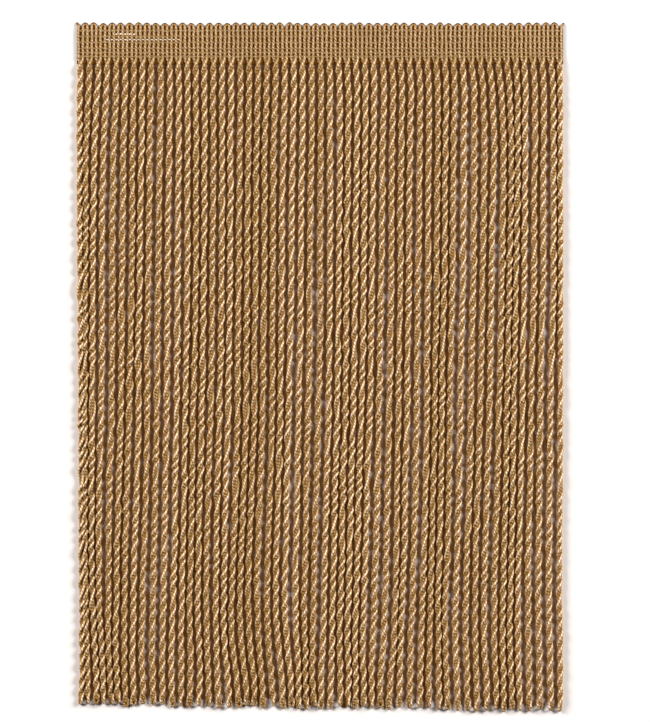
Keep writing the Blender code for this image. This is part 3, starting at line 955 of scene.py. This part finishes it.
def make_weft_tree():
    """Runs yarn along the loops, pinched where the warp binds it and thinner over the top."""
    inlets = (
        ("Guides", "Geometry"),
        ("Radius", "Float"),
        ("Spacing", "Float"),
        ("Pinch", "Float"),
        ("Pinch Width", "Float"),
        ("Loop Base", "Float"),
        ("Loop Thin", "Float"),
        ("Sides", "Int"),
        ("Seed", "Int"),
        ("Yarn", "Material"),
    )
    tree, inner, outer = new_group("woven_weft", "GeometryNodeTree", inlets, (("Weft", "Geometry"),))
    given = inner.outputs
    flowing = add_node(
        tree, "GeometryNodeCurveSplineType", {"Curve": given["Guides"]}, spline_type="CATMULL_ROM"
    ).outputs["Curve"]
    pointed = add_node(
        tree, "GeometryNodeResampleCurve", {"Curve": flowing, "Length": given["Spacing"]}, mode="LENGTH"
    ).outputs["Curve"]
    loop = add_node(tree, "GeometryNodeCurveOfPoint").outputs["Curve Index"]
    tone = add_node(
        tree,
        "FunctionNodeRandomValue",
        {2: -0.5, 3: 0.5, "ID": loop, "Seed": given["Seed"]},
        data_type="FLOAT",
    ).outputs[1]
    toned = add_node(
        tree,
        "GeometryNodeStoreNamedAttribute",
        {"Geometry": pointed, "Name": "tone", "Value": tone},
        data_type="FLOAT",
        domain="POINT",
    ).outputs["Geometry"]
    height = add_node(
        tree, "ShaderNodeSeparateXYZ", {0: add_node(tree, "GeometryNodeInputPosition").outputs[0]}
    ).outputs["Y"]
    pinch = 0.0
    for row in WARP_ROWS.values():
        off = calc(tree, "DIVIDE", calc(tree, "SUBTRACT", height, row_place(row)), given["Pinch Width"])
        bell = calc(tree, "DIVIDE", 1.0, calc(tree, "MULTIPLY_ADD", off, off, 1.0))
        pinch = calc(tree, "ADD", pinch, calc(tree, "MULTIPLY", bell, given["Pinch"]))
    rise = calc(tree, "SUBTRACT", height, given["Loop Base"])
    over = ramp(tree, rise, -0.0004, 0.0008, 0.0, given["Loop Thin"])
    tube = add_node(tree, "GeometryNodeGroup", node_tree=yarn_tube)
    for socket, feed in (
        ("Path", toned),
        ("Along", add_node(tree, "GeometryNodeSplineParameter").outputs["Length"]),
        ("Radius", given["Radius"]),
        ("Pinch", calc(tree, "ADD", pinch, over)),
        ("Sides", given["Sides"]),
        ("Yarn", given["Yarn"]),
    ):
        tree.links.new(feed, tube.inputs[socket])
    tube.inputs["Unevenness"].default_value = 0.16
    whole = add_node(tree, "GeometryNodeRealizeInstances", {"Geometry": tube.outputs["Yarn"]})
    dyed = add_node(
        tree, "GeometryNodeSetMaterial", {"Geometry": whole.outputs["Geometry"], "Material": given["Yarn"]}
    )
    tree.links.new(dyed.outputs["Geometry"], outer.inputs["Weft"])
    return tree


def loop_back_line(loop):
    """The middle line of the second yarn at a loop's turn: outside and under the first one."""
    heights = [y for _, y, _ in loop]
    top = max(heights)
    turn = [place for place in loop if LOOP_BASE - LOOP_BACK["reach"] < place[1]]
    middle = sum(x for x, _, _ in turn) / len(turn)
    line = []
    for x, y, z in turn:
        rise = (y - LOOP_BASE) / (top - LOOP_BASE)
        widened = x + (x - middle) * LOOP_BACK["wider"]
        line.append((widened, y + LOOP_BACK["above"] * max(rise, 0.0), z - LOOP_BACK["under"]))
    return line


heading_low, heading_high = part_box("heading")
pitch = (heading_high.x - heading_low.x) / len(cord_lines)
loop_chance = random.Random(HEADING_SEED)
loop_lines = []
for number in range(len(cord_lines) + 1):
    sides = {0: "right", len(cord_lines): "left"}.get(number, "both")
    loop_lines.append(loop_line(heading_low.x + number * pitch, loop_chance, sides))
heading_yarn = make_yarn_material("heading_yarn", HEADING_COLOURS, YARN_PITCH, HEADING_SHINE, *HEADING_SHADE)
weft_tree = make_weft_tree()
weft = shaped(
    "looped_weft",
    curve_of("weft_guides", loop_lines),
    weft_tree,
    {
        "Radius": RIB_RADIUS,
        "Spacing": RIB_SPACING,
        "Pinch": WARP_PINCH,
        "Pinch Width": WARP_PINCH_WIDTH,
        "Loop Base": LOOP_BASE,
        "Loop Thin": LOOP_THIN,
        "Sides": YARN_SIDES,
        "Seed": HEADING_SEED,
        "Yarn": heading_yarn,
    },
)
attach(weft, "root")
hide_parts("heading")

# Coloured near black: painted shade of the loop's outer rim.
back_shade_yarn = make_yarn_material(
    "loop_back_shade_yarn", LOOP_BACK_SHADE_COLOURS, YARN_PITCH, LOOP_BACK_SHINE, *HEADING_SHADE
)
loop_backs = shaped(
    "loop_backs",
    curve_of("loop_back_guides", [loop_back_line(loop) for loop in loop_lines]),
    weft_tree,
    {
        "Radius": LOOP_BACK["radius"],
        "Spacing": RIB_SPACING,
        "Pinch": 0.0,
        "Pinch Width": WARP_PINCH_WIDTH,
        "Loop Base": LOOP_BASE,
        "Loop Thin": 0.0,
        "Sides": YARN_SIDES,
        "Seed": HEADING_SEED,
        "Yarn": back_shade_yarn,
    },
)
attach(loop_backs, "root")


# The warp: fine dull threads that run across the heading in pairs, over one rib and under the next, and
# bind the ribs together. Close ground threads lie flat behind the ribs, down to the roots of the cords.
WARP_RADIUS = 0.00022
WARP_OVER = -0.00019
WARP_UNDER = 0.00024
WARP_STRAY = 0.0010
WARP_SIDES = 5
WARP_POINTS_A_RIB = 5
WARP_END_INSET = 0.0002
WARP_COLOURS = {
    "Light": (0.44, 0.28, 0.09, 1.0),
    "Blush": (0.48, 0.28, 0.12, 1.0),
    "Deep": (0.24, 0.11, 0.02, 1.0),
    "Painted Shade": (0.20, 0.08, 0.01, 1.0),
}
# WARP_SHADE gives the heights of the painted under-shade on the warp and pale threads.
WARP_SHADE = (0.0, 0.0006)
WARP_SHINE = 1.3
# The ground threads lie below the heading's painted under-shade height, so they are coloured dark: painted
# shade in the windows between the ribs and under the cord roots.
GROUND_ROWS = {"top": 28.0, "bottom": 64.2}
GROUND_SPACING = 0.00052
GROUND_RADIUS = 0.00030
GROUND_HEIGHT = 0.00046


def make_warp_tree():
    """Weaves each straight guide over and under the ribs, each thread a share of a wave on from the last."""
    inlets = (
        ("Guides", "Geometry"),
        ("Count", "Int"),
        ("Radius", "Float"),
        ("Wave Length", "Float"),
        ("Alternate", "Float"),
        ("Start", "Float"),
        ("Top", "Float"),
        ("Dip", "Float"),
        ("Stray", "Float"),
        ("Sides", "Int"),
        ("Yarn", "Material"),
    )
    tree, inner, outer = new_group("woven_warp", "GeometryNodeTree", inlets, (("Warp", "Geometry"),))
    given = inner.outputs
    pointed = add_node(
        tree, "GeometryNodeResampleCurve", {"Curve": given["Guides"], "Count": given["Count"]}, mode="COUNT"
    ).outputs["Curve"]
    thread = add_node(tree, "GeometryNodeCurveOfPoint").outputs["Curve Index"]
    place = add_node(
        tree, "ShaderNodeSeparateXYZ", {0: add_node(tree, "GeometryNodeInputPosition").outputs[0]}
    )
    from_start = calc(tree, "SUBTRACT", place.outputs["X"], given["Start"])
    waves = calc(tree, "DIVIDE", from_start, given["Wave Length"])
    waves = calc(tree, "MULTIPLY_ADD", thread, given["Alternate"], waves)
    wave = calc(tree, "COSINE", calc(tree, "MULTIPLY", waves, 2 * math.pi))
    dip = calc(tree, "MULTIPLY", calc(tree, "MULTIPLY_ADD", wave, -0.5, 0.5), given["Dip"])
    height = calc(tree, "SUBTRACT", given["Top"], dip)
    stray_place = add_node(
        tree,
        "ShaderNodeCombineXYZ",
        {
            "X": calc(tree, "DIVIDE", place.outputs["X"], given["Wave Length"]),
            "Y": calc(tree, "MULTIPLY", thread, 3.7),
        },
    ).outputs[0]
    stray = add_node(tree, "ShaderNodeTexNoise", {"Vector": stray_place, "Scale": 0.9, "Detail": 1.0})
    stray = calc(tree, "MULTIPLY", calc(tree, "SUBTRACT", stray.outputs["Fac"], 0.5), given["Stray"])
    woven = add_node(
        tree,
        "ShaderNodeCombineXYZ",
        {"X": place.outputs["X"], "Y": calc(tree, "ADD", place.outputs["Y"], stray), "Z": height},
    ).outputs[0]
    tone = add_node(
        tree, "FunctionNodeRandomValue", {2: 0.0, 3: 1.0, "ID": thread}, data_type="FLOAT"
    ).outputs[1]
    toned = add_node(
        tree,
        "GeometryNodeStoreNamedAttribute",
        {"Geometry": pointed, "Name": "tone", "Value": tone},
        data_type="FLOAT",
        domain="POINT",
    ).outputs["Geometry"]
    laid = add_node(tree, "GeometryNodeSetPosition", {"Geometry": toned, "Position": woven}).outputs[0]
    tube = add_node(tree, "GeometryNodeGroup", node_tree=yarn_tube)
    for socket, feed in (
        ("Path", laid),
        ("Along", add_node(tree, "GeometryNodeSplineParameter").outputs["Length"]),
        ("Radius", given["Radius"]),
        ("Sides", given["Sides"]),
        ("Yarn", given["Yarn"]),
    ):
        tree.links.new(feed, tube.inputs[socket])
    whole = add_node(tree, "GeometryNodeRealizeInstances", {"Geometry": tube.outputs["Yarn"]})
    dyed = add_node(
        tree, "GeometryNodeSetMaterial", {"Geometry": whole.outputs["Geometry"], "Material": given["Yarn"]}
    )
    tree.links.new(dyed.outputs["Geometry"], outer.inputs["Warp"])
    return tree


def across_heading(y):
    """A straight guide from one cut end of the heading to the other."""
    return [(heading_low.x + WARP_END_INSET, y, 0.0), (heading_high.x - WARP_END_INSET, y, 0.0)]


warp_lines = []
for row in WARP_ROWS.values():
    for side in (-0.5, 0.5):
        warp_lines.append(across_heading(row_place(row) + side * WARP_RADIUS))
warp_tree = make_warp_tree()
warp_yarn = make_yarn_material("warp_yarn", WARP_COLOURS, YARN_PITCH * 0.6, WARP_SHINE, *WARP_SHADE)
warp = shaped(
    "warp_threads",
    curve_of("warp_guides", warp_lines),
    warp_tree,
    {
        "Count": len(cord_lines) * 2 * WARP_POINTS_A_RIB,
        "Radius": WARP_RADIUS,
        "Wave Length": pitch,
        "Alternate": 0.5,
        "Start": heading_low.x + LEG_SPREAD,
        "Top": LEG_HEIGHT + RIB_RADIUS * (1.0 - WARP_PINCH) + WARP_OVER,
        "Dip": WARP_UNDER,
        "Stray": WARP_STRAY,
        "Sides": WARP_SIDES,
        "Yarn": warp_yarn,
    },
)
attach(warp, "root")

ground_lines = []
ground_top = row_place(GROUND_ROWS["top"])
for number in range(int((ground_top - row_place(GROUND_ROWS["bottom"])) / GROUND_SPACING) + 1):
    y = ground_top - number * GROUND_SPACING
    ground_lines.append(across_heading(y))
ground = shaped(
    "ground_warp",
    curve_of("ground_guides", ground_lines),
    warp_tree,
    {
        "Count": len(cord_lines) * 2,
        "Radius": GROUND_RADIUS,
        "Wave Length": pitch,
        "Alternate": 0.5,
        "Start": heading_low.x + LEG_SPREAD,
        "Top": GROUND_HEIGHT,
        "Dip": 0.0,
        "Stray": 0.0,
        "Sides": WARP_SIDES,
        "Yarn": heading_yarn,
    },
)
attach(ground, "root")


# A pale thread runs along part of the warp near the left end. It lies under the ribs, and shows as a row of
# small light spots between them.
PALE_RUNS = {
    "long": {"row": 39.9, "from": 105.5, "to": 181.5},
    "short": {"row": 34.4, "from": 114.0, "to": 136.5},
}
PALE_RADIUS = 0.00028
PALE_TOP = 0.00096
PALE_DIP = 0.00066
PALE_POINTS_A_RIB = 8
PALE_STRAY = WARP_STRAY * 0.4
PALE_COLOURS = {
    "Light": (1.0, 0.94, 0.83, 1.0),
    "Blush": (1.0, 0.90, 0.76, 1.0),
    "Deep": (0.90, 0.76, 0.58, 1.0),
    "Painted Shade": (0.60, 0.45, 0.30, 1.0),
}


def column_place(column):
    """How far to the right a column of the picture is."""
    return look_x + (column - PICTURE["wide"] / 2) * scale


pale_yarn = make_yarn_material("pale_yarn", PALE_COLOURS, YARN_PITCH * 0.6, WARP_SHINE, *WARP_SHADE)
pale_lines = []
for run in PALE_RUNS.values():
    y = row_place(run["row"])
    pale_lines.append([(column_place(run["from"]), y, 0.0), (column_place(run["to"]), y, 0.0)])
rib_count = round((PALE_RUNS["long"]["to"] - PALE_RUNS["long"]["from"]) * scale / (pitch / 2))
pale = shaped(
    "pale_thread",
    curve_of("pale_guides", pale_lines),
    warp_tree,
    {
        "Count": rib_count * PALE_POINTS_A_RIB,
        "Radius": PALE_RADIUS,
        "Wave Length": pitch / 2,
        "Alternate": 0.0,
        "Start": heading_low.x,
        "Top": PALE_TOP,
        "Dip": PALE_DIP,
        "Stray": PALE_STRAY,
        "Sides": WARP_SIDES,
        "Yarn": pale_yarn,
    },
)
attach(pale, "root")
